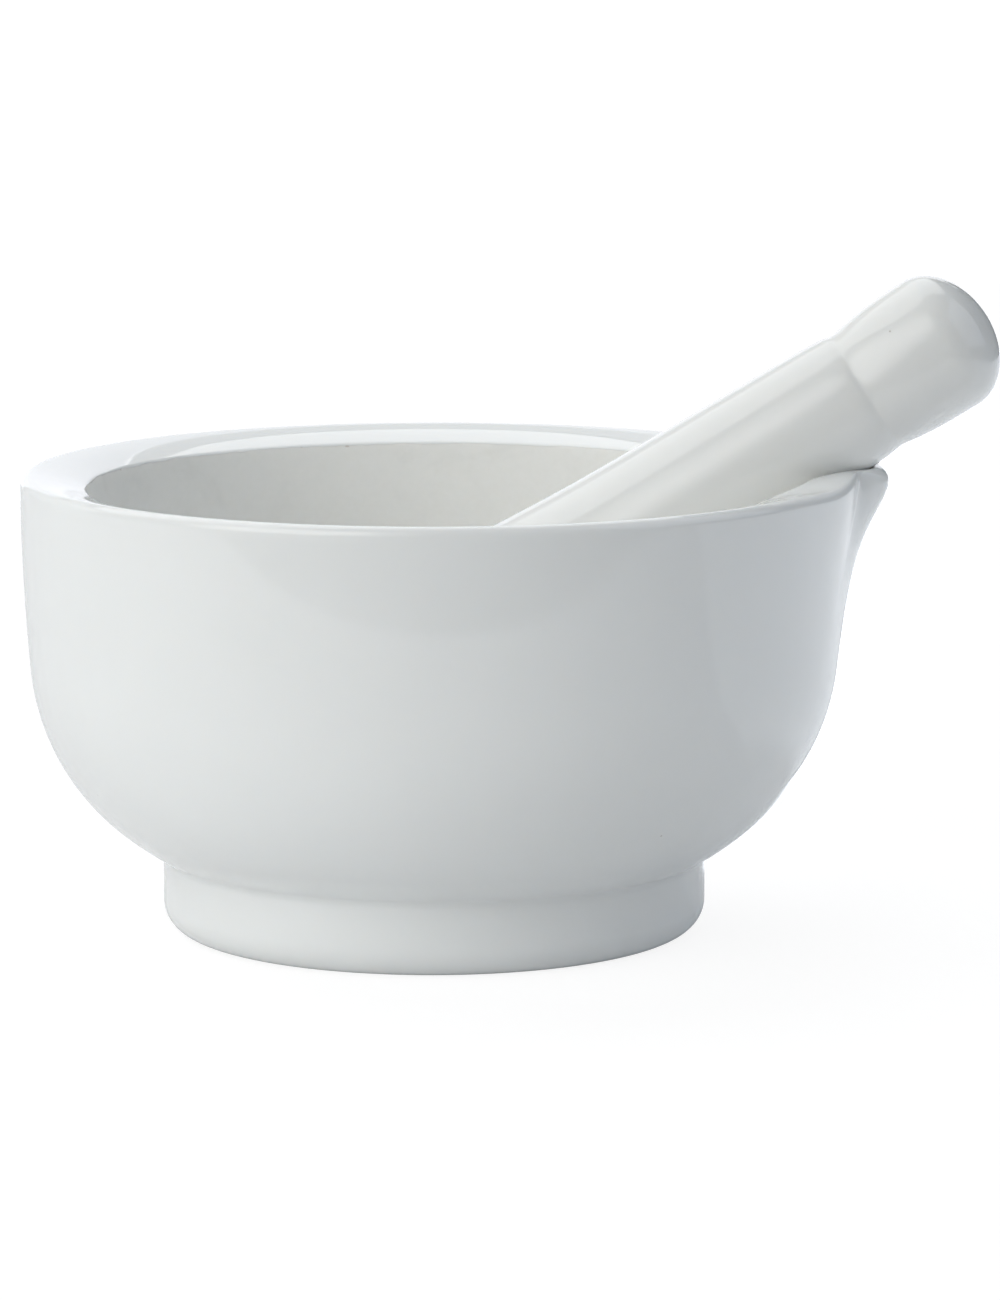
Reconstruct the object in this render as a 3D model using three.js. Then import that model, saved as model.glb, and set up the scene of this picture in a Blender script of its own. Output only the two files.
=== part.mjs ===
// A porcelain mortar with a pouring spout, and its one-piece pestle lying in the bowl.
// Millimetres, +Z up. The spout points along +X, and the pestle lies in the XZ plane: its
// grinding head rests on the floor of the bowl and its handle leans on the lip of the spout.
// The origin is on the bench, under the middle of the set's bounding box.
import * as THREE from 'three';

// ---- Mortar: driving dimensions, measured from the bowl's own vertical axis ----
const RIM_HEIGHT = 84.2; // highest ring of the rim above the bench
const RIM_RADIUS = 75.2; // outside of the wall just under the rim
const RIM_EDGE_RADIUS = 1.2; // rounding between the wall and the top of the rim
const RIM_SLOPE_DEGREES = 14; // the top of the rim falls inwards
const BOWL_RADIUS = 63.2; // inner edge of the rim
const BOWL_EDGE_RADIUS = 1.5; // rounding of that inner edge
const FLOOR_HEIGHT = 13; // middle of the bowl's floor above the bench
// The dished floor, and the arc that turns it up into the inner wall, each to a heading in degrees.
const FLOOR_ARC = { radius: 100, to: 20, steps: 5 };
const SIDE_ARC = { radius: 43, to: 88, steps: 7 };
// The outer wall drops from the rim in three tangent arcs, each a radius and a turn in degrees.
const WALL_ARCS = [
  { radius: 387, turn: 5, steps: 6 },
  { radius: 42.3, turn: 48.5, steps: 9 },
  { radius: 70, turn: 6.8, steps: 2 },
];
const FOOT_RADIUS = 49.7; // outside of the foot ring
const FOOT_TOP = 12.2; // the upright side of the foot ends here, under the bowl
const FOOT_EDGE_RADIUS = 5.4; // rounding at the bottom of the foot
const FOOT_RING_INNER_RADIUS = 40; // inside of the flat ring that stands on the bench
const RECESS_RADIUS = 37; // shallow recess inside the foot ring
const RECESS_DEPTH = 3;

// ---- Spout: how far the wall is drawn out over it, and how that fades sideways and downwards ----
// A power says how square the cross-section of a swelling or a groove is, or how sharply it fades.
const SPOUT_SWELL = { reach: 2.4, halfWidth: 28, power: 4 }; // broad swelling of the outer wall
const SPOUT_NOSE = { reach: 5.6, tipHalfWidth: 3.6, halfWidth: 10 }; // lip in the middle of it
const SPOUT_SPREAD = 0.9; // the foot of the lip widens by this share of the depth below the rim
const SPOUT_FALL = { halfDepth: 11.5, power: 2.2 }; // the outer swelling halves this far down
const RISE_FADE = 9.5; // below the rim the raising of the spout dies away over this height
const CHANNEL_REACH = 6.8; // inner wall drawn out along with the swelling
const CHANNEL_GROOVE = { reach: 9.9, halfWidth: 9.8, power: 2.6 }; // the pestle leans in it
const CHANNEL_FALL = { depth: 9, power: 1.3 }; // the channel dies away over this height
const SPOUT_RISE = 0.5; // the rim stands a little higher beside the groove

// ---- Pestle: driving dimensions, measured along its axis from the end of the knob ----
const PESTLE_LENGTH = 162.8;
const PESTLE_TILT_DEGREES = 32.7; // above the horizontal
const KNOB_END = { x: 100.4, z: 112.85 }; // end of the knob, from the bowl's axis and the bench
const KNOB = { radius: 13.1, dome: 9.7, side: 22, length: 24 };
const NECK = { radius: 11.7, at: 26 };
// Distance along the axis and radius, from the neck to the head.
const HANDLE_POINTS = [
  [32, 12.45],
  [58.6, 13.45],
  [80, 14.4],
  [100, 16.1],
  [124, 18.2],
];
const HEAD_RADIUS = 19;

// ---- Fineness of the two turned bodies ----
const MORTAR_SEGMENTS = 80;
const PESTLE_SEGMENTS = 36;
const SPOUT_CROWDING = 0.78; // share by which segments are drawn together at the spout
const INNER_WALL_SHARES = [0.4, 0.65, 0.85, 1]; // rings on the inner wall, closer near the rim
const RIM_TOP_SHARES = [1 / 3, 2 / 3, 1]; // rings on the top of the rim
const EDGE_STEPS = { bowl: 3, rim: 4, foot: 5 }; // rings round the three rounded edges
const PESTLE_STEPS = { dome: 7, knobSide: 6, handle: 14, head: 8 };

const GLAZE = { color: 0xf2f3f1, roughness: 0.12, metalness: 0 };

const radians = THREE.MathUtils.degToRad;

// Adds an arc to an outline of (radius, height) points, from its last point. Headings are in
// degrees, 0 pointing away from the axis and 90 pointing up; a falling heading turns right.
function addArc(outline, radius, from, to, steps) {
  const start = outline[outline.length - 1];
  const side = Math.sign(to - from) * radius;
  for (let step = 1; step <= steps; step += 1) {
    const heading = radians(from + ((to - from) * step) / steps);
    outline.push(
      new THREE.Vector2(
        start.x + side * (Math.sin(heading) - Math.sin(radians(from))),
        start.y - side * (Math.cos(heading) - Math.cos(radians(from))),
      ),
    );
  }
}

// Height of the sloping top of the rim at a radius, inside its rounded outer edge.
function rimTopHeight(radius) {
  const crest = RIM_RADIUS - RIM_EDGE_RADIUS;
  return RIM_HEIGHT - Math.max(0, crest - radius) * Math.tan(radians(RIM_SLOPE_DEGREES));
}

// The mortar's section: up the inside of the bowl, over the rim, down the wall and under the foot.
function mortarOutline() {
  const outline = [new THREE.Vector2(0, FLOOR_HEIGHT)];
  addArc(outline, FLOOR_ARC.radius, 0, FLOOR_ARC.to, FLOOR_ARC.steps);
  addArc(outline, SIDE_ARC.radius, FLOOR_ARC.to, SIDE_ARC.to, SIDE_ARC.steps);
  const wallFoot = outline[outline.length - 1];
  const edgeHeight = rimTopHeight(BOWL_RADIUS + BOWL_EDGE_RADIUS);
  for (const share of INNER_WALL_SHARES) {
    outline.push(
      new THREE.Vector2(
        THREE.MathUtils.lerp(wallFoot.x, BOWL_RADIUS, share),
        THREE.MathUtils.lerp(wallFoot.y, edgeHeight - BOWL_EDGE_RADIUS, share),
      ),
    );
  }
  addArc(outline, BOWL_EDGE_RADIUS, 90, RIM_SLOPE_DEGREES, EDGE_STEPS.bowl);
  const crest = RIM_RADIUS - RIM_EDGE_RADIUS;
  for (const share of RIM_TOP_SHARES) {
    const radius = THREE.MathUtils.lerp(BOWL_RADIUS + BOWL_EDGE_RADIUS, crest, share);
    outline.push(new THREE.Vector2(radius, rimTopHeight(radius)));
  }
  addArc(outline, RIM_EDGE_RADIUS, 0, -90, EDGE_STEPS.rim);
  let heading = -90;
  for (const { radius, turn, steps } of WALL_ARCS) {
    addArc(outline, radius, heading, heading - turn, steps);
    heading -= turn;
  }
  outline.push(new THREE.Vector2(FOOT_RADIUS, FOOT_TOP));
  outline.push(new THREE.Vector2(FOOT_RADIUS, FOOT_EDGE_RADIUS));
  addArc(outline, FOOT_EDGE_RADIUS, -90, -180, EDGE_STEPS.foot);
  outline.push(new THREE.Vector2(FOOT_RING_INNER_RADIUS, 0));
  outline.push(new THREE.Vector2(RECESS_RADIUS, RECESS_DEPTH));
  outline.push(new THREE.Vector2(0, RECESS_DEPTH));
  return outline;
}

// A bump that is 1 at the middle of the spout and dies away sideways; a higher power is squarer.
function bump(sideways, { halfWidth, power }) {
  return Math.exp(-((Math.abs(sideways) / halfWidth) ** power));
}

// Moves a point of the turned mortar to draw the spout out of its rim: first up, which levels the
// sloping top of the rim, and then away from the axis.
function drawSpout(point) {
  const radius = Math.hypot(point.x, point.y);
  if (point.x <= 0 || point.z < FOOT_TOP) return;
  const sideways = (RIM_RADIUS * point.y) / radius;
  const swell = bump(sideways, SPOUT_SWELL);
  const inner = CHANNEL_REACH * swell + CHANNEL_GROOVE.reach * bump(sideways, CHANNEL_GROOVE);
  // 0 on the inner wall and 1 on the outer wall; the top of the rim lies between the two.
  const across = THREE.MathUtils.clamp((radius - BOWL_RADIUS) / (RIM_RADIUS - BOWL_RADIUS), 0, 1);
  const drop = RIM_HEIGHT - rimTopHeight(Math.max(radius, BOWL_RADIUS));
  const belowTop = Math.max(0, RIM_HEIGHT - drop - point.z);
  point.z += swell * (drop + SPOUT_RISE) * Math.exp(-belowTop / RISE_FADE);
  const depth = Math.max(0, RIM_HEIGHT - point.z);
  const flank = THREE.MathUtils.smoothstep(
    Math.abs(sideways),
    SPOUT_NOSE.tipHalfWidth,
    SPOUT_NOSE.halfWidth + SPOUT_SPREAD * depth,
  );
  const outer = SPOUT_SWELL.reach * swell + SPOUT_NOSE.reach * (1 - flank);
  const fall = (depth / SPOUT_FALL.halfDepth) ** SPOUT_FALL.power;
  const outerFade = (1 - depth / RIM_HEIGHT) / (1 + fall);
  const innerFade = Math.exp(-((depth / CHANNEL_FALL.depth) ** CHANNEL_FALL.power));
  const reach = THREE.MathUtils.lerp(inner * innerFade, outer * outerFade, across);
  point.x *= (radius + reach) / radius;
  point.y *= (radius + reach) / radius;
}

// Turns an outline about the vertical axis.
function turn(outline, segments) {
  return new THREE.LatheGeometry(outline, segments).rotateX(Math.PI / 2);
}

// Draws the segments together around the spout, where the shape changes fastest.
function crowdSegments(point) {
  const angle = Math.atan2(point.y, point.x);
  const crowded = angle - SPOUT_CROWDING * Math.sin(angle);
  const radius = Math.hypot(point.x, point.y);
  point.x = radius * Math.cos(crowded);
  point.y = radius * Math.sin(crowded);
}

function reshape(geometry, ...changes) {
  const positions = geometry.getAttribute('position');
  const point = new THREE.Vector3();
  for (let index = 0; index < positions.count; index += 1) {
    point.fromBufferAttribute(positions, index);
    for (const change of changes) change(point);
    positions.setXYZ(index, point.x, point.y, point.z);
  }
  geometry.computeVertexNormals();
  return geometry;
}

// The pestle's section, along its axis from the end of the knob to the end of the head.
function pestleOutline() {
  const outline = [];
  for (let step = 0; step < PESTLE_STEPS.dome; step += 1) {
    const angle = (step / PESTLE_STEPS.dome) * (Math.PI / 2);
    const along = KNOB.dome * (1 - Math.cos(angle));
    outline.push(new THREE.Vector2(KNOB.radius * Math.sin(angle), along));
  }
  const knobSide = new THREE.CubicBezierCurve(
    new THREE.Vector2(KNOB.radius, KNOB.dome),
    new THREE.Vector2(KNOB.radius, KNOB.side),
    new THREE.Vector2(NECK.radius, KNOB.length),
    new THREE.Vector2(NECK.radius, NECK.at),
  );
  outline.push(...knobSide.getPoints(PESTLE_STEPS.knobSide));
  const headMiddle = PESTLE_LENGTH - HEAD_RADIUS;
  const handle = new THREE.SplineCurve(
    [[NECK.at, NECK.radius], ...HANDLE_POINTS, [headMiddle, HEAD_RADIUS]].map(
      ([along, radius]) => new THREE.Vector2(radius, along),
    ),
  );
  outline.push(...handle.getPoints(PESTLE_STEPS.handle).slice(1));
  for (let step = 1; step <= PESTLE_STEPS.head; step += 1) {
    const angle = (1 - step / PESTLE_STEPS.head) * (Math.PI / 2);
    const radius = HEAD_RADIUS * Math.sin(angle);
    outline.push(new THREE.Vector2(radius, headMiddle + HEAD_RADIUS * Math.cos(angle)));
  }
  return outline;
}

function makeMortar() {
  const geometry = turn(mortarOutline().reverse(), MORTAR_SEGMENTS);
  const mortar = new THREE.Mesh(
    reshape(geometry, crowdSegments, drawSpout),
    new THREE.MeshStandardMaterial(GLAZE),
  );
  mortar.name = 'mortar';
  return mortar;
}

function makePestle() {
  const geometry = turn(pestleOutline(), PESTLE_SEGMENTS);
  const pestle = new THREE.Mesh(geometry, new THREE.MeshStandardMaterial(GLAZE));
  pestle.name = 'pestle';
  // Its axis runs from the knob, high over the spout, down to the head in the bowl.
  pestle.rotation.y = -radians(90 + PESTLE_TILT_DEGREES);
  pestle.position.set(KNOB_END.x, 0, KNOB_END.z);
  return pestle;
}

// Both bodies are placed from the bowl's axis, then moved so that the origin is mid-box.
const set = new THREE.Group();
set.add(makeMortar(), makePestle());
const box = new THREE.Box3().setFromObject(set, true);
set.position.x = -(box.min.x + box.max.x) / 2;

export default set;
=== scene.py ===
import math

import bpy
from mathutils import Matrix, Vector, noise


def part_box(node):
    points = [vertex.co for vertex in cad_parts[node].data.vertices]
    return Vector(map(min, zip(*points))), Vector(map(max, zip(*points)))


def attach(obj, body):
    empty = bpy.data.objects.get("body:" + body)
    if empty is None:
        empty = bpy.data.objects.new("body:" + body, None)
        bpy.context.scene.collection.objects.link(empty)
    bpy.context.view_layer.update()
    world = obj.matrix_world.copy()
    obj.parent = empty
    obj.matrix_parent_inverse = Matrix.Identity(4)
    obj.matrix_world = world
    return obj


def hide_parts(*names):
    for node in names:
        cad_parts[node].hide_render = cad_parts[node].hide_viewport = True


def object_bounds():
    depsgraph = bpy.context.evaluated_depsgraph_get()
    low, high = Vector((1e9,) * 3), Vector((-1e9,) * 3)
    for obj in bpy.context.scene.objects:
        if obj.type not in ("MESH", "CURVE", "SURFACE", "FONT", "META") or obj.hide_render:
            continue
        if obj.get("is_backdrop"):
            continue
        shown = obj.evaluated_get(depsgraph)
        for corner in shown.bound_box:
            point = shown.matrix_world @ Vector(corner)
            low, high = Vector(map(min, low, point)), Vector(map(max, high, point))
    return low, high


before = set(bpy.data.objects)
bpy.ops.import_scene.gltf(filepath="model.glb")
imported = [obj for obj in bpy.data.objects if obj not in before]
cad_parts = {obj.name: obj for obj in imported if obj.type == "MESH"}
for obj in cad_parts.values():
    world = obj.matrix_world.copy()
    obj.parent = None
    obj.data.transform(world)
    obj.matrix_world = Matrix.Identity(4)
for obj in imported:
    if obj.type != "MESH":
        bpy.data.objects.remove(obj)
cad_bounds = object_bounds()

MM = 0.001  # the driving dimensions below are in millimetres, and Blender's are in metres

# ---- Mortar: driving dimensions, measured from the bowl's own vertical axis ----
RIM_HEIGHT = 84.2
RIM_RADIUS = 75.2
RIM_EDGE_RADIUS = 1.7
RIM_CREST_RADIUS = RIM_RADIUS - RIM_EDGE_RADIUS
RIM_SLOPE = math.radians(14)  # the top of the rim falls inwards
RIM_CROWN = 0.25  # how far the top of the rim bulges above that slope
BOWL_RADIUS = 63.2
BOWL_EDGE_RADIUS = 0.9
FLOOR_HEIGHT = 13
FLOOR_ARC = (100, 20)  # radius in millimetres, heading in degrees at its end
SIDE_ARC = (43, 88)
WALL_ARCS = ((387, 5), (42.3, 48.5), (70, 6))  # radius in millimetres, turn in degrees
FOOT_RADIUS = 49.7
FOOT_EDGE_RADIUS = 5.4
FOOT_RING_INNER_RADIUS = 40
RECESS_RADIUS = 37
RECESS_DEPTH = 3
GLAZE_END = 0.4  # the glaze ends this far up the rounded inner edge, measured along the section
BARE_RING_MARGIN = 1  # the foot stays bare this far beyond both ends of its flat standing ring

# ---- Spout ----
SPOUT_SWELL = (2.4, 28, 4)  # reach, half width and power: a higher power is squarer
SPOUT_NOSE = (5.6, 2.6, 10.5)  # reach, half width of its tip and of its foot
SPOUT_SPREAD = 0.35  # the foot of the lip widens by this share of the depth below the rim
SPOUT_FALL = (11.5, 2.2)  # the outer swelling halves this far down, and how sharply
RISE_FADE = 9.5  # below the rim the raising of the spout dies away over this height
CHANNEL_REACH = 6.8  # inner wall drawn out along with the swelling
CHANNEL_GROOVE = (9.9, 9.8, 2.6)  # reach, half width and power of the groove
CHANNEL_FALL = (9, 1.3)  # the channel dies away over this height, and how sharply
SPOUT_RISE = 0.8  # the rim stands a little higher beside the groove
LIP_ROUNDING = (2.0, 6.5, 4)  # the outer edge of the lip falls: depth, half width and power
LIP_ROUNDING_INWARD = 3  # power by which that fall dies away from the outer edge inwards
SPOUT_SHOULDERS = ((-0.9, 24, 9, 2), (0.5, 12, 5, 2))  # rise of the outer edge, place, half width, power
SPOUT_BOTTOM = 2 * FOOT_EDGE_RADIUS  # nothing below this height is drawn out

# ---- Pestle: driving dimensions, measured along its axis from the end of the knob ----
PESTLE_LENGTH = 162.8
PESTLE_TILT = math.radians(32.7)
KNOB_END = (100.4, 112.85)  # from the bowl's axis and from the table
KNOB_RADIUS = 13.1
KNOB_DOME = 9.7
KNOB_SIDE = 22  # the knob's side heads straight for this place before it turns in
KNOB_LENGTH = 24
NECK_RADIUS = 11.7
NECK_AT = 26
NECK_SOFTENING = (0.3, 15, 33)  # below, the neck is this much shallower, between these places
HANDLE_POINTS = ((32, 12.45), (58.6, 13.45), (80, 14.4), (100, 16.1), (124, 18.2))
HEAD_RADIUS = 19
HEAD_GLAZE_END = 118  # the glaze ends here, and the grinding head is bare

# ---- Fineness and unevenness ----
SECTION_STEP = 0.9  # longest step along a smooth stretch of a section
EDGE_STEP = 0.2  # along the rounded edges of the rim
FILLET_STEP = 0.25  # along the hollow fillet above the foot
FOOT_STEP = 0.5  # along the foot's rounded edge and the side of its recess
RECESS_STEP = 3  # across the flat underside
FEWEST_ARC_STEPS = 4
RIM_TOP_STEPS = 16
KNOB_DOME_STEPS = 24
NECK_STEPS = 28
HANDLE_STEPS = 130
HEAD_STEPS = 36
MORTAR_SEGMENTS = 320
PESTLE_SEGMENTS = 128
SPOUT_CROWDING = 0.55  # share by which segments are drawn together at the spout
CAST_WAVINESS = 0.09  # how far a cast surface strays from its true shape
CAST_WAVELENGTH = 38
CAST_FINER = (0.4, 2.3)  # a finer unevenness is added: its share, and how many times shorter it is
MORTAR_SEED = 3.7  # the place in the noise that each body's unevenness is taken from
PESTLE_SEED = 11.3

# ---- Porcelain: colours, and patterns whose sizes are in metres ----
MORTAR_GLAZE = ((0.84, 0.857, 0.852, 1), (0.865, 0.882, 0.877, 1))
PESTLE_GLAZE = ((0.81, 0.82, 0.808, 1), (0.835, 0.845, 0.832, 1))
CLOUDS = (0.022, 4, 0.4)  # size, detail and distortion
SPECKS = (0.011, 0.00024, 0.45)  # spacing, radius and the share of places that have one
SPECK_COLOR = (0.35, 0.3, 0.25, 1)
SPECK_STRENGTH = 0.6
SPECK_CORE = 0.4  # share of a speck's radius that has its full colour
PINHOLE_DEPTH = 0.00008  # the relief makes each speck a shallow pinhole too
RIPPLE = (0.007, 1)  # size and detail
RIPPLE_HEIGHT = 0.000012
GLAZE_ROUGHNESS = 0.04
BARE_COLORS = ((0.86, 0.862, 0.835, 1), (0.9, 0.902, 0.88, 1))
BARE_ROUGHNESS = 0.75
GRAIN = (0.0012, 5)  # size and detail
GRAIN_HEIGHT = 0.00006
RUBBING = (0.012, 3, 1.5)  # size, detail and distortion
RUBBING_SHOWS = (0.5, 0.8)  # where in that pattern the marks begin and are full
RUBBED_COLOR = (0.72, 0.72, 0.7, 1)
RUBBED_STRENGTH = 0.25
SCATTER_SHARE = 0.25  # of the light, which spreads below the surface
SCATTER_DISTANCE = 0.0012
SCATTER_COLORS = (1.0, 0.9, 0.8)  # of that distance, for red, green and blue
GLAZE_IOR = 1.5

# ---- Edge of the glaze: in millimetres, counted from the edge into the bare porcelain ----
EDGE_WANDER = (0.006, 3)  # size in metres and detail
EDGE_WANDER_WIDTH = 1.2
EDGE_FADE = (-0.08, 0.12)  # the glaze begins to end, and has ended
EDGE_LINE = (0.05, 0.16)  # middle and half width of a faint darker line along it
EDGE_COLOR = (0.42, 0.33, 0.24, 1)
EDGE_TINT = 0.05
EDGE_SPECKS = (0.0022, 0.0006, 0.3)  # spacing and radius in metres, and the share of places
EDGE_SPECK_TINT = 0.35
EDGE_DROP = 0.11  # the relief puts the bare porcelain this much lower than the glaze

# ---- Camera: from the bowl's axis on the table, in metres ----
CAMERA_AT = Vector((0, -1.1262, 0.2304))
CAMERA_AIM = Vector((0.0121, 0, 0.0512))
CAMERA_LENS = 172.5  # this and the sensor are in millimetres
SENSOR = 36
CAMERA_CLIP = (0.05, 100)

# ---- Studio: from the bowl's axis on the table, in metres and degrees ----
OBJECT_MIDDLE = Vector((0, 0, 0.06))
TABLE_EDGES = (-0.9, 0.9, -0.34, 1.2)  # left, right, front, back
WATTS_PER_RADIANCE = 4  # for each square metre of an area light
LIGHTS = (
    # name, azimuth, elevation, distance, width, height, radiance, softness, colour
    ("left_light", -138, 26, 1.3, 70, 70, 2.12, 0.35, (1, 1, 0.985)),
    ("back_light", -4, 9.5, 1.6, 40, 31, 0.88, 0, (0.97, 0.98, 1.03)),
    ("back_left_light", -48, 10.5, 1.6, 48, 33, 0.47, 0, (0.97, 0.98, 1.03)),
    ("rim_light", -24, 30.5, 1.6, 88, 7, 0.5, 0, (0.99, 1, 1)),
    ("right_light", 95, 35, 1.6, 50, 50, 0.7, 0, (0.92, 0.98, 1.08)),
    ("top_light", -30, 60, 1.3, 70, 48, 1.2, 0, (0.99, 1, 1)),
)
ROOM_COLOR = (0.95, 1, 1.04, 1)
ROOM_STRENGTH = 0.1
BACKDROP_STRENGTH = 1.1  # what the camera sees behind the table

# ---- Table: azimuths in degrees, distances in metres ----
TABLE_COLORS = ((0.79, 0.79, 0.79, 1), (0.81, 0.81, 0.81, 1))
TABLE_MOTTLE = (0.05, 2)  # size and detail
TABLE_ROUGHNESS = 0.9
BACKLIT_EDGE = 0.075  # the lit parts of the table are measured from the right side of the bowl
BACKLIT_START = (0.04, 0.08)  # they fade in over these distances
BACKLIT_PARTS = ((-20, 16.5, 1.6), (18.5, 110, 0.4))  # from and to azimuth, radiance
BACKLIT_FADE = 1  # and at their sides over this many degrees
BACKLIT_COLOR = (0.94, 0.99, 1.06, 1)
TABLE_GLOW = 0.055  # and the whole table glows this much
SEEN_TABLE_COLOR = (0.2, 0.2, 0.2, 1)  # as the camera sees it
SEEN_TABLE_GLOW = 0.86


def bowl_axis():
    """The point on the table under the middle of the bowl, from the frame."""
    low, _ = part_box("mortar")
    return Vector((low.x + RIM_RADIUS * MM, 0, 0))


AXIS = bowl_axis()


# ---------------------------------------------------------------- sections
def add_arc(section, radius, start, end, step=SECTION_STEP):
    """Adds an arc to a section of (radius, height) points. Headings are in degrees, 0 pointing away
    from the axis and 90 up; a falling heading turns right."""
    x, z = section[-1]
    side = math.copysign(radius, end - start)
    steps = max(FEWEST_ARC_STEPS, math.ceil(abs(math.radians(end - start)) * radius / step))
    for index in range(1, steps + 1):
        heading = math.radians(start + (end - start) * index / steps)
        dx = side * (math.sin(heading) - math.sin(math.radians(start)))
        dz = side * (math.cos(heading) - math.cos(math.radians(start)))
        section.append((x + dx, z - dz))


def add_line(section, x, z, step=SECTION_STEP):
    """Adds a straight stretch to a section."""
    x0, z0 = section[-1]
    steps = max(1, math.ceil(math.hypot(x - x0, z - z0) / step))
    for index in range(1, steps + 1):
        share = index / steps
        section.append((x0 + (x - x0) * share, z0 + (z - z0) * share))


def rim_top_height(radius):
    """The straight slope of the rim's top, which stays level beyond its crest."""
    return RIM_HEIGHT - max(0, RIM_CREST_RADIUS - radius) * math.tan(RIM_SLOPE)


def add_rim_top(section):
    """Adds the sloping top of the rim, which bulges a little above the straight slope."""
    start_radius, start_height = section[-1]
    for index in range(1, RIM_TOP_STEPS + 1):
        share = index / RIM_TOP_STEPS
        radius = start_radius + (RIM_CREST_RADIUS - start_radius) * share
        height = start_height + (RIM_HEIGHT - start_height) * share
        bulge = 4 * share * (1 - share)  # 0 at both ends and 1 half way
        section.append((radius, height + RIM_CROWN * bulge))


def mortar_section():
    """The mortar's section from the middle of the floor, over the rim and under the foot, with the
    stretches that are bare: (start, end) pairs of length along it."""
    section = [(0, FLOOR_HEIGHT)]
    add_arc(section, FLOOR_ARC[0], 0, FLOOR_ARC[1])
    add_arc(section, SIDE_ARC[0], FLOOR_ARC[1], SIDE_ARC[1])
    edge_height = rim_top_height(BOWL_RADIUS + BOWL_EDGE_RADIUS)
    add_line(section, BOWL_RADIUS, edge_height - BOWL_EDGE_RADIUS)
    inner_edge = length_of(section)
    add_arc(section, BOWL_EDGE_RADIUS, 90, math.degrees(RIM_SLOPE), EDGE_STEP)
    add_rim_top(section)
    add_arc(section, RIM_EDGE_RADIUS, 0, -90, EDGE_STEP)
    heading = -90
    for radius, turn in WALL_ARCS:
        add_arc(section, radius, heading, heading - turn)
        heading -= turn
    # A hollow fillet leads the underside of the bowl into the upright side of the foot.
    fillet = (section[-1][0] - FOOT_RADIUS) / (1 + math.sin(math.radians(heading)))
    add_arc(section, fillet, heading, -90, FILLET_STEP)
    add_line(section, FOOT_RADIUS, FOOT_EDGE_RADIUS)
    add_arc(section, FOOT_EDGE_RADIUS, -90, -180, FOOT_STEP)
    ring_start = length_of(section) - BARE_RING_MARGIN
    add_line(section, FOOT_RING_INNER_RADIUS, 0)
    ring_end = length_of(section) + BARE_RING_MARGIN
    add_line(section, RECESS_RADIUS, RECESS_DEPTH, FOOT_STEP)
    add_line(section, 0, RECESS_DEPTH, RECESS_STEP)
    return section, ((-math.inf, inner_edge + GLAZE_END), (ring_start, ring_end))


def spline(points, count):
    """Points on a Catmull-Rom curve through the given ones."""
    ends = [points[0], *points, points[-1]]
    curve = []
    for index in range(count + 1):
        at = index / count * (len(points) - 1)
        span = min(int(at), len(points) - 2)
        share = at - span
        a, b, c, d = ends[span:span + 4]
        curve.append(tuple(
            0.5 * (2 * q + (r - p) * share + (2 * p - 5 * q + 4 * r - s) * share ** 2
                   + (3 * q - p - 3 * r + s) * share ** 3)
            for p, q, r, s in zip(a, b, c, d)
        ))
    return curve


def bezier(a, b, c, d, count):
    """Points on a Bezier curve from a to d that sets out towards b and arrives from c."""
    curve = []
    for index in range(count + 1):
        t = index / count
        u = 1 - t
        curve.append(tuple(
            p * u ** 3 + 3 * q * u * u * t + 3 * r * u * t * t + s * t ** 3
            for p, q, r, s in zip(a, b, c, d)
        ))
    return curve


def pestle_section():
    """The pestle's section along its axis, from the end of the knob to the end of the head."""
    section = []
    for index in range(KNOB_DOME_STEPS):
        angle = index / KNOB_DOME_STEPS * math.pi / 2
        section.append((KNOB_RADIUS * math.sin(angle), KNOB_DOME * (1 - math.cos(angle))))
    section += bezier(
        (KNOB_RADIUS, KNOB_DOME), (KNOB_RADIUS, KNOB_SIDE),
        (NECK_RADIUS, KNOB_LENGTH), (NECK_RADIUS, NECK_AT), NECK_STEPS,
    )
    head_middle = PESTLE_LENGTH - HEAD_RADIUS
    points = [(NECK_AT, NECK_RADIUS), *HANDLE_POINTS, (head_middle, HEAD_RADIUS)]
    section += [(radius, along) for along, radius in spline(points, HANDLE_STEPS)][1:]
    for index in range(1, HEAD_STEPS + 1):
        angle = (1 - index / HEAD_STEPS) * math.pi / 2
        section.append((HEAD_RADIUS * math.sin(angle), head_middle + HEAD_RADIUS * math.cos(angle)))
    bare_start = length_of([p for p in section if p[1] <= HEAD_GLAZE_END])
    return section, ((bare_start, math.inf),)


def length_of(section):
    return sum(math.dist(a, b) for a, b in zip(section, section[1:]))


def bare_depth(along, bare):
    """How far inside a bare stretch a length along a section lies; below zero it is glazed."""
    return max(min(along - start, end - along) for start, end in bare)


# ---------------------------------------------------------------- spout
def bump(sideways, half_width, power):
    """1 at the middle of the spout, dying away sideways."""
    return math.exp(-((abs(sideways) / half_width) ** power))


def smooth(value, low, high):
    """0 below low, 1 above high, and an S-curve between."""
    share = min(1, max(0, (value - low) / (high - low)))
    return share * share * (3 - 2 * share)


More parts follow.
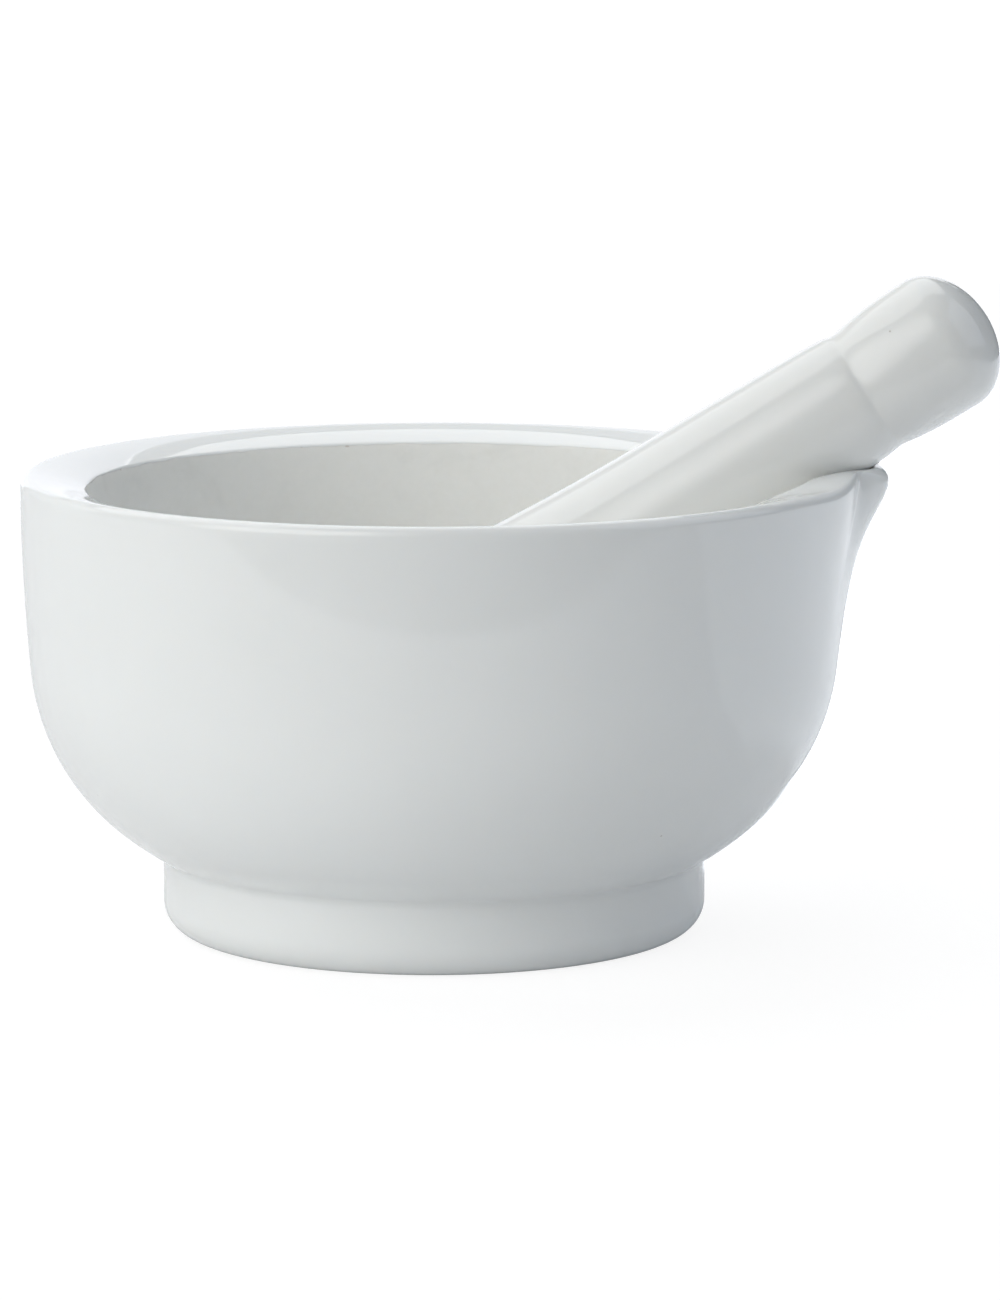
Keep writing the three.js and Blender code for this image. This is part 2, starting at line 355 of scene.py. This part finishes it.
def draw_spout(point):
    """Draws the spout out of the rim: first up, which levels the sloping top of the rim, and then
    away from the axis."""
    x, y, z = point
    radius = math.hypot(x, y)
    if x <= 0 or z < SPOUT_BOTTOM:
        return point
    sideways = RIM_RADIUS * y / radius
    swell = bump(sideways, *SPOUT_SWELL[1:])
    inner = CHANNEL_REACH * swell + CHANNEL_GROOVE[0] * bump(sideways, *CHANNEL_GROOVE[1:])
    # 0 on the inner wall and 1 on the outer wall; the top of the rim lies between the two.
    across = min(1, max(0, (radius - BOWL_RADIUS) / (RIM_RADIUS - BOWL_RADIUS)))
    drop = RIM_HEIGHT - rim_top_height(max(radius, BOWL_RADIUS))
    below_top = max(0, RIM_HEIGHT - drop - z)
    rise = swell * (drop + SPOUT_RISE)
    for height, place, half_width, power in SPOUT_SHOULDERS:
        rise += across * height * bump(abs(sideways) - place, half_width, power)
    rise -= LIP_ROUNDING[0] * across ** LIP_ROUNDING_INWARD * bump(sideways, *LIP_ROUNDING[1:])
    z += rise * math.exp(-below_top / RISE_FADE)
    depth = max(0, RIM_HEIGHT - z)
    nose_reach, tip, foot = SPOUT_NOSE
    flank = smooth(abs(sideways), tip, foot + SPOUT_SPREAD * depth)
    outer = SPOUT_SWELL[0] * swell + nose_reach * (1 - flank)
    outer_fade = (1 - depth / RIM_HEIGHT) / (1 + (depth / SPOUT_FALL[0]) ** SPOUT_FALL[1])
    inner_fade = math.exp(-((depth / CHANNEL_FALL[0]) ** CHANNEL_FALL[1]))
    reach = inner * inner_fade * (1 - across) + outer * outer_fade * across
    share = (radius + reach) / radius
    return Vector((x * share, y * share, z))


# ---------------------------------------------------------------- turned bodies
def turned_faces(rings, segments):
    """Faces between neighbouring rings of points, and fans that close the first and the last ring.
    The two points on the axis come after all the rings."""
    faces = []
    for ring in range(rings - 1):
        for index in range(segments):
            after = (index + 1) % segments
            a, b = ring * segments, (ring + 1) * segments
            faces.append((a + index, a + after, b + after, b + index))
    end = (rings - 1) * segments
    first, last = rings * segments, rings * segments + 1
    for index in range(segments):
        after = (index + 1) % segments
        faces.append((first, after, index))
        faces.append((last, end + index, end + after))
    return faces


def turned_mesh(name, section, bare, segments, shape):
    """Turns a section, whose two ends lie on the axis, about Z into a closed smooth mesh. shape moves
    each point to its final place. The attribute bare_depth holds how far a point is inside a bare
    stretch, in millimetres, and below zero in the glaze."""
    along = [0]
    for a, b in zip(section, section[1:]):
        along.append(along[-1] + math.dist(a, b))
    points = []
    depths = []
    for (radius, height), length in zip(section[1:-1], along[1:-1]):
        for index in range(segments):
            angle = 2 * math.pi * index / segments
            points.append(shape(radius, angle, height))
            depths.append(bare_depth(length, bare))
    points += [shape(0, 0, section[0][1]), shape(0, 0, section[-1][1])]
    depths += [bare_depth(0, bare), bare_depth(along[-1], bare)]
    faces = turned_faces(len(section) - 2, segments)
    mesh = bpy.data.meshes.new(name)
    mesh.from_pydata(points, [], faces)
    mesh.polygons.foreach_set("use_smooth", [True] * len(faces))
    attribute = mesh.attributes.new("bare_depth", "FLOAT", "POINT")
    attribute.data.foreach_set("value", depths)
    mesh.update()
    return mesh


def unevenness(point, seed):
    """A slow wander of a cast surface at a point in metres, roughly from -1 to 1."""
    share, shorter = CAST_FINER
    place = point / (CAST_WAVELENGTH * MM) + Vector((seed, 0, 0))
    return noise.noise(place) + share * noise.noise(place * shorter)


def make_mortar():
    section, bare = mortar_section()

    def shape(radius, angle, height):
        crowded = angle - SPOUT_CROWDING * math.sin(angle)
        point = Vector((radius * math.cos(crowded), radius * math.sin(crowded), height))
        if radius > 0:
            point = draw_spout(point)
        fade = min(1, height / FOOT_EDGE_RADIUS)  # 0 at the bottom, so the standing ring stays true
        stray = CAST_WAVINESS * unevenness(point * MM, MORTAR_SEED) * fade
        if radius > 0:
            outward = Vector((point.x, point.y, 0)).normalized()
            point += outward * stray
        return AXIS + point * MM

    mesh = turned_mesh("mortar_porcelain", section, bare, MORTAR_SEGMENTS, shape)
    mesh.flip_normals()  # the section runs down the outer wall, so the faces come out pointing in
    return bpy.data.objects.new("mortar_porcelain", mesh)


def soften_neck(radius, angle, along):
    """The neck is a crisp notch on the upper side of the pestle, at angle 0, and shallower below."""
    share, start, end = NECK_SOFTENING
    if not start < along < end:
        return radius
    shallow = KNOB_RADIUS + (HANDLE_POINTS[0][1] - KNOB_RADIUS) * smooth(along, start, end)
    return radius + (shallow - radius) * share * (1 - math.cos(angle)) / 2


def make_pestle():
    section, bare = pestle_section()
    turn = Matrix.Rotation(-(math.pi / 2 + PESTLE_TILT), 3, "Y")
    knob_end = AXIS + Vector((KNOB_END[0], 0, KNOB_END[1])) * MM

    def shape(radius, angle, along):
        outward = Vector((math.cos(angle), math.sin(angle), 0))
        point = outward * soften_neck(radius, angle, along) + Vector((0, 0, along))
        fade = min(1, radius / NECK_RADIUS)  # 0 on the axis, so both ends stay true
        point += outward * CAST_WAVINESS * unevenness(point * MM, PESTLE_SEED) * fade
        return knob_end + turn @ (point * MM)

    mesh = turned_mesh("pestle_porcelain", section, bare, PESTLE_SEGMENTS, shape)
    return bpy.data.objects.new("pestle_porcelain", mesh)


# ---------------------------------------------------------------- materials
def new_material(name):
    material = bpy.data.materials.new(name)
    material.use_nodes = True
    tree = material.node_tree
    shader = tree.nodes["Principled BSDF"]
    return material, tree, shader


def feed(tree, socket, value):
    """Sets a socket to a plain number or colour, or links it to another node's output."""
    if isinstance(value, (int, float, tuple)):
        socket.default_value = value
    else:
        tree.links.new(value, socket)


def math_node(tree, operation, *values):
    node = tree.nodes.new("ShaderNodeMath")
    node.operation = operation
    for socket, value in zip(node.inputs, values):
        feed(tree, socket, value)
    return node.outputs[0]


def noise_node(tree, place, size, detail=2, distortion=0):
    """A soft pattern whose patches are about size metres across."""
    node = tree.nodes.new("ShaderNodeTexNoise")
    tree.links.new(place, node.inputs["Vector"])
    node.inputs["Scale"].default_value = 1 / size
    node.inputs["Detail"].default_value = detail
    node.inputs["Distortion"].default_value = distortion
    return node.outputs["Fac"]


def mix_color(tree, share, a, b):
    """Colour a where share is 0, and b where it is 1."""
    node = tree.nodes.new("ShaderNodeMix")
    node.data_type = "RGBA"
    feed(tree, node.inputs["Factor"], share)
    # The node has sockets of the same names for numbers and vectors too. These are the colour ones.
    feed(tree, node.inputs[6], a)
    feed(tree, node.inputs[7], b)
    return node.outputs[2]


def ramp(tree, value, low, high):
    """0 at low and before it, 1 at high and beyond, and smooth between. low may be the larger."""
    node = tree.nodes.new("ShaderNodeMapRange")
    node.interpolation_type = "SMOOTHSTEP"
    tree.links.new(value, node.inputs["Value"])
    node.inputs["From Min"].default_value = low
    node.inputs["From Max"].default_value = high
    return node.outputs["Result"]


def specks(tree, place, spacing, radius, share):
    """Tiny round spots, one at most in each cell of that spacing, in that share of the cells."""
    cells = tree.nodes.new("ShaderNodeTexVoronoi")
    tree.links.new(place, cells.inputs["Vector"])
    cells.inputs["Scale"].default_value = 1 / spacing
    spot = ramp(tree, cells.outputs["Distance"], radius / spacing, SPECK_CORE * radius / spacing)
    separate = tree.nodes.new("ShaderNodeSeparateColor")
    tree.links.new(cells.outputs["Color"], separate.inputs["Color"])
    chosen = math_node(tree, "LESS_THAN", separate.outputs["Red"], share)
    return math_node(tree, "MULTIPLY", spot, chosen)


def edge_depth(tree, place):
    """How far a point is inside the bare porcelain, in millimetres, with an edge that wanders."""
    stored = tree.nodes.new("ShaderNodeAttribute")
    stored.attribute_name = "bare_depth"
    wander = noise_node(tree, place, *EDGE_WANDER)
    wander = math_node(tree, "MULTIPLY_ADD", wander, EDGE_WANDER_WIDTH, -EDGE_WANDER_WIDTH / 2)
    return math_node(tree, "ADD", stored.outputs["Fac"], wander)


def glaze_color(tree, place, colors, spots):
    """Faintly cloudy, with a few dark specks."""
    color = mix_color(tree, noise_node(tree, place, *CLOUDS), *colors)
    return mix_color(tree, math_node(tree, "MULTIPLY", spots, SPECK_STRENGTH), color, SPECK_COLOR)


def bare_color(tree, place, grain):
    """Warmer and greyer than the glaze, with a fine grain and faint rubbing marks."""
    color = mix_color(tree, grain, *BARE_COLORS)
    marks = ramp(tree, noise_node(tree, place, *RUBBING), *RUBBING_SHOWS)
    return mix_color(tree, math_node(tree, "MULTIPLY", marks, RUBBED_STRENGTH), color, RUBBED_COLOR)


def edge_line(tree, place, depth):
    """The rolled edge of the glaze gathers a thin darker line with brown specks."""
    near_edge = math_node(tree, "COMPARE", depth, *EDGE_LINE)
    tint = math_node(tree, "MULTIPLY_ADD", specks(tree, place, *EDGE_SPECKS), EDGE_SPECK_TINT, EDGE_TINT)
    return math_node(tree, "MULTIPLY", near_edge, tint)


def relief(tree, place, bare, grain, spots):
    """The glaze's soft ripple, pinholes and rolled edge, and the grain of the bare porcelain."""
    ripple = math_node(tree, "MULTIPLY", noise_node(tree, place, *RIPPLE), RIPPLE_HEIGHT)
    drop = math_node(tree, "MULTIPLY", bare, -EDGE_DROP * MM)
    rough = math_node(tree, "MULTIPLY", math_node(tree, "MULTIPLY", grain, bare), GRAIN_HEIGHT)
    pinholes = math_node(tree, "MULTIPLY", spots, -PINHOLE_DEPTH)
    height = math_node(tree, "ADD", ripple, drop)
    height = math_node(tree, "ADD", height, math_node(tree, "ADD", rough, pinholes))
    node = tree.nodes.new("ShaderNodeBump")
    node.inputs["Strength"].default_value = 1
    node.inputs["Distance"].default_value = 1  # the height is in metres already
    tree.links.new(height, node.inputs["Height"])
    return node.outputs["Normal"]


def porcelain(name, glaze_colors):
    """Glossy white glaze over porcelain, and bare matte porcelain where bare_depth is above zero."""
    material, tree, shader = new_material(name)
    place = tree.nodes.new("ShaderNodeTexCoord").outputs["Object"]
    depth = edge_depth(tree, place)
    bare = ramp(tree, depth, *EDGE_FADE)
    spots = specks(tree, place, *SPECKS)
    grain = noise_node(tree, place, *GRAIN)

    glaze = glaze_color(tree, place, glaze_colors, spots)
    color = mix_color(tree, bare, glaze, bare_color(tree, place, grain))
    color = mix_color(tree, edge_line(tree, place, depth), color, EDGE_COLOR)
    tree.links.new(color, shader.inputs["Base Color"])
    rougher = BARE_ROUGHNESS - GLAZE_ROUGHNESS
    roughness = math_node(tree, "MULTIPLY_ADD", bare, rougher, GLAZE_ROUGHNESS)
    tree.links.new(roughness, shader.inputs["Roughness"])
    tree.links.new(relief(tree, place, bare, grain, spots), shader.inputs["Normal"])

    shader.inputs["IOR"].default_value = GLAZE_IOR
    shader.inputs["Subsurface Weight"].default_value = SCATTER_SHARE
    shader.inputs["Subsurface Radius"].default_value = SCATTER_COLORS
    shader.inputs["Subsurface Scale"].default_value = SCATTER_DISTANCE
    return material


def two_faced(tree, unseen, seen):
    """One shader for the light that reaches the object, and another for what the camera sees."""
    path = tree.nodes.new("ShaderNodeLightPath")
    mix = tree.nodes.new("ShaderNodeMixShader")
    tree.links.new(path.outputs["Is Camera Ray"], mix.inputs["Fac"])
    tree.links.new(unseen, mix.inputs[1])
    tree.links.new(seen, mix.inputs[2])
    return mix.outputs["Shader"]


def table_glow(tree, place):
    """The table is lit from below behind the bowl, and less so beside it, beyond a dark seam."""
    split = tree.nodes.new("ShaderNodeSeparateXYZ")
    tree.links.new(place, split.inputs["Vector"])
    beside = math_node(tree, "SUBTRACT", split.outputs["X"], BACKLIT_EDGE)
    azimuth = math_node(tree, "ARCTAN2", beside, split.outputs["Y"])
    glow = 0
    for start, end, radiance in BACKLIT_PARTS:
        opened = ramp(tree, azimuth, math.radians(start), math.radians(start + BACKLIT_FADE))
        closed = ramp(tree, azimuth, math.radians(end), math.radians(end - BACKLIT_FADE))
        part = math_node(tree, "MULTIPLY", math_node(tree, "MULTIPLY", opened, closed), radiance)
        glow = math_node(tree, "ADD", glow, part)
    across = math_node(tree, "POWER", beside, 2)
    back = math_node(tree, "POWER", split.outputs["Y"], 2)
    away = math_node(tree, "SQRT", math_node(tree, "ADD", across, back))
    beyond = ramp(tree, away, *BACKLIT_START)
    return math_node(tree, "MULTIPLY_ADD", glow, beyond, TABLE_GLOW)


def make_matte(shader, glow_color):
    shader.inputs["Roughness"].default_value = TABLE_ROUGHNESS
    shader.inputs["Specular IOR Level"].default_value = 0
    shader.inputs["Emission Color"].default_value = glow_color


def table_white():
    """White paper. The camera sees it brightly lit from below as well, so shadows on it stay faint."""
    material, tree, paper = new_material("table_white")
    place = tree.nodes.new("ShaderNodeTexCoord").outputs["Object"]
    color = mix_color(tree, noise_node(tree, place, *TABLE_MOTTLE), *TABLE_COLORS)
    tree.links.new(color, paper.inputs["Base Color"])
    tree.links.new(table_glow(tree, place), paper.inputs["Emission Strength"])
    make_matte(paper, BACKLIT_COLOR)
    lit = tree.nodes.new("ShaderNodeBsdfPrincipled")
    lit.inputs["Base Color"].default_value = SEEN_TABLE_COLOR
    lit.inputs["Emission Strength"].default_value = SEEN_TABLE_GLOW
    make_matte(lit, (1, 1, 1, 1))
    surface = two_faced(tree, paper.outputs["BSDF"], lit.outputs["BSDF"])
    tree.links.new(surface, tree.nodes["Material Output"].inputs["Surface"])
    return material


# ---------------------------------------------------------------- studio
def add_object(thing):
    bpy.context.scene.collection.objects.link(thing)
    return thing


def add_camera():
    camera = bpy.data.cameras.new("camera")
    camera.sensor_width = SENSOR
    camera.lens = CAMERA_LENS
    camera.clip_start, camera.clip_end = CAMERA_CLIP
    holder = add_object(bpy.data.objects.new("camera", camera))
    holder.location = AXIS + CAMERA_AT
    holder.rotation_mode = "QUATERNION"
    holder.rotation_quaternion = (CAMERA_AIM - CAMERA_AT).to_track_quat("-Z", "Y")
    bpy.context.scene.camera = holder


def soften(lamp, softness):
    """Lets a light fade out over that share of its width and height, at every edge."""
    lamp.use_nodes = True
    tree = lamp.node_tree
    geometry = tree.nodes.new("ShaderNodeNewGeometry")
    place = tree.nodes.new("ShaderNodeSeparateXYZ")
    tree.links.new(geometry.outputs["Parametric"], place.inputs["Vector"])
    fades = []
    for axis in ("X", "Y"):
        offset = math_node(tree, "SUBTRACT", place.outputs[axis], 0.5)
        fades.append(ramp(tree, math_node(tree, "ABSOLUTE", offset), 0.5, 0.5 - softness))
    tree.links.new(math_node(tree, "MULTIPLY", *fades), tree.nodes["Emission"].inputs["Strength"])


def add_panel(name, azimuth, elevation, distance, width, height, radiance, softness, color):
    """A flat studio light that faces the object. Azimuth 0 is straight behind the object and grows
    to the right; width and height are angles seen from the object, in degrees."""
    turn, rise = math.radians(azimuth), math.radians(elevation)
    away = Vector((math.sin(turn) * math.cos(rise), math.cos(turn) * math.cos(rise), math.sin(rise)))
    lamp = bpy.data.lights.new(name, "AREA")
    lamp.shape = "RECTANGLE"
    lamp.color = color
    lamp.size = 2 * distance * math.tan(math.radians(width / 2))
    lamp.size_y = 2 * distance * math.tan(math.radians(height / 2))
    lamp.energy = radiance * WATTS_PER_RADIANCE * lamp.size * lamp.size_y
    if softness:
        soften(lamp, softness)
    holder = add_object(bpy.data.objects.new(name, lamp))
    holder.location = AXIS + OBJECT_MIDDLE + away * distance
    holder.rotation_mode = "QUATERNION"
    holder.rotation_quaternion = (-away).to_track_quat("-Z", "Y")
    holder.visible_camera = False


def background(tree, color, strength):
    node = tree.nodes.new("ShaderNodeBackground")
    node.inputs["Color"].default_value = color
    node.inputs["Strength"].default_value = strength
    return node.outputs["Background"]


def add_world():
    """A dim room, seen white by the camera like the far end of a bright studio."""
    world = bpy.data.worlds.new("studio")
    world.use_nodes = True
    tree = world.node_tree
    tree.nodes.clear()
    output = tree.nodes.new("ShaderNodeOutputWorld")
    room = background(tree, ROOM_COLOR, ROOM_STRENGTH)
    white = background(tree, (1, 1, 1, 1), BACKDROP_STRENGTH)
    tree.links.new(two_faced(tree, room, white), output.inputs["Surface"])
    bpy.context.scene.world = world


def add_table():
    left, right, front, back = TABLE_EDGES
    corners = ((left, front, 0), (right, front, 0), (right, back, 0), (left, back, 0))
    mesh = bpy.data.meshes.new("table")
    mesh.from_pydata(corners, [], [(0, 1, 2, 3)])
    table = add_object(bpy.data.objects.new("table", mesh))
    table.location = AXIS
    table.data.materials.append(table_white())
    table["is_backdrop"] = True


def add_lights():
    for light in LIGHTS:
        add_panel(*light)


add_world()
add_table()
add_lights()
add_camera()
bpy.context.scene.view_settings.view_transform = "Standard"

for made, node, slot, glaze_colors in (
    (make_mortar(), "mortar", "mortar_porcelain", MORTAR_GLAZE),
    (make_pestle(), "pestle", "pestle_porcelain", PESTLE_GLAZE),
):
    add_object(made)
    made.data.materials.append(porcelain(slot, glaze_colors))
    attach(made, node)
    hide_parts(node)

visual_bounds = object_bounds()
sizes = {"cad": cad_bounds, "visual": visual_bounds}
{name: [list(corner) for corner in bounds] for name, bounds in sizes.items()}
